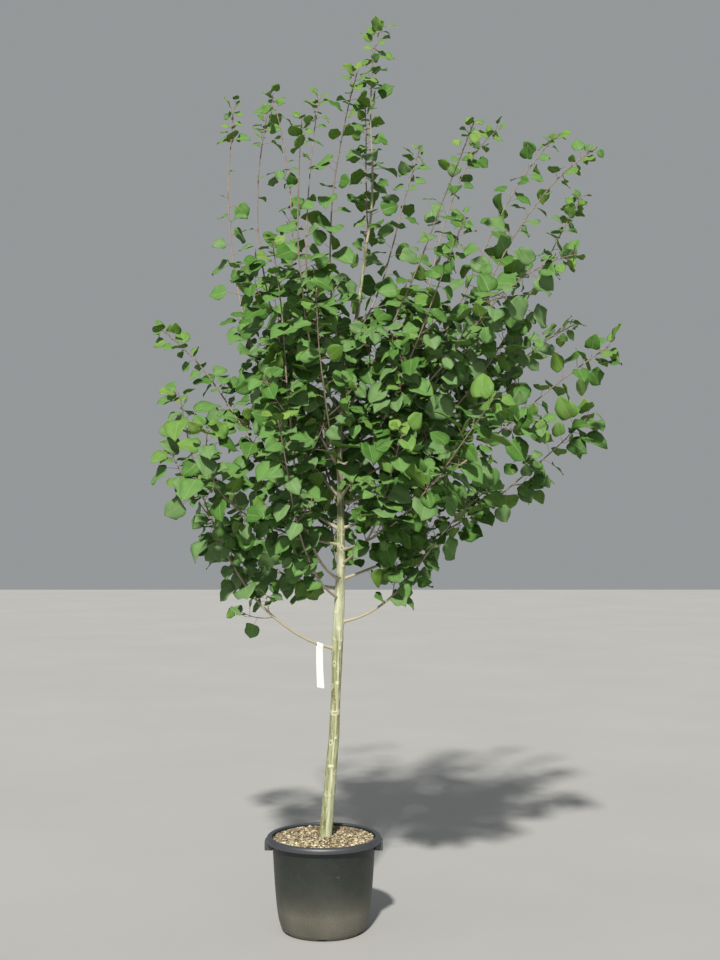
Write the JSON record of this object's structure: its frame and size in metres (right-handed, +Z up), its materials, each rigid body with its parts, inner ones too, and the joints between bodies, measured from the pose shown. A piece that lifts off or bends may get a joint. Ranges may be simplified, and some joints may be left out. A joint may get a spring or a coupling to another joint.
{
  "type": "poplar tree in a nursery pot",
  "caption": "Young poplar standing in a round black nursery pot: one leaning trunk, upswept boughs and separate masses of leafy twigs.",
  "frame": {"origin": "centre of the pot's flat underside", "axes": "+Z up along the tree, -Y the side the picture shows, +X to its right"},
  "size_m": [1.8247, 1.3654, 3.5456],
  "materials": {
    "pot_plastic": "satin moulded black plastic, dusty towards the foot",
    "bark_mulch": "pale and brown bark chips",
    "trunk_bark": "smooth olive-cream bark with pale streaks and dark pits",
    "limb_bark": "smooth greyish tan bark",
    "foliage": "thin matt green leaves on brown twigs",
    "label_strip": "blank white strip"
  },
  "bodies": {
    "root": {"bough_back_left": "limb_bark", "bough_back_right": "limb_bark", "bough_back_upright": "limb_bark", "bough_far_right": "limb_bark", "bough_front_left": "limb_bark", "bough_front_right": "limb_bark", "bough_front_upright": "limb_bark", "bough_high_back": "limb_bark", "bough_high_front_right": "limb_bark", "bough_high_right": "limb_bark", "bough_inner_left": "limb_bark", "bough_low_back": "limb_bark", "bough_low_front": "limb_bark", "bough_low_front_left": "limb_bark", "bough_low_front_right": "limb_bark", "bough_low_left": "limb_bark", "bough_low_right": "limb_bark", "bough_mid_back": "limb_bark", "bough_mid_front": "limb_bark", "bough_mid_left": "limb_bark", "bough_mid_right": "limb_bark", "bough_tall_left": "limb_bark", "bough_tall_right": "limb_bark", "bough_upright_left": "limb_bark", "bough_wide_high_right": "limb_bark", "bough_wide_left": "limb_bark", "bough_wide_right": "limb_bark", "foliage_back_left": "foliage", "foliage_back_right": "foliage", "foliage_back_upright": "foliage", "foliage_far_right": "foliage", "foliage_front_left": "foliage", "foliage_front_right": "foliage", "foliage_front_upright": "foliage", "foliage_high_back": "foliage", "foliage_high_front_right": "foliage", "foliage_high_right": "foliage", "foliage_inner_left": "foliage", "foliage_leader": "foliage", "foliage_low_back": "foliage", "foliage_low_front": "foliage", "foliage_low_front_left": "foliage", "foliage_low_front_right": "foliage", "foliage_low_left": "foliage", "foliage_low_right": "foliage", "foliage_mid_back": "foliage", "foliage_mid_front": "foliage", "foliage_mid_left": "foliage", "foliage_mid_right": "foliage", "foliage_tall_left": "foliage", "foliage_tall_right": "foliage", "foliage_upright_left": "foliage", "foliage_wide_high_right": "foliage", "foliage_wide_left": "foliage", "foliage_wide_right": "foliage", "label": "label_strip", "pot": "pot_plastic", "soil": "bark_mulch", "trunk": "trunk_bark"}
  },
  "joints": []
}
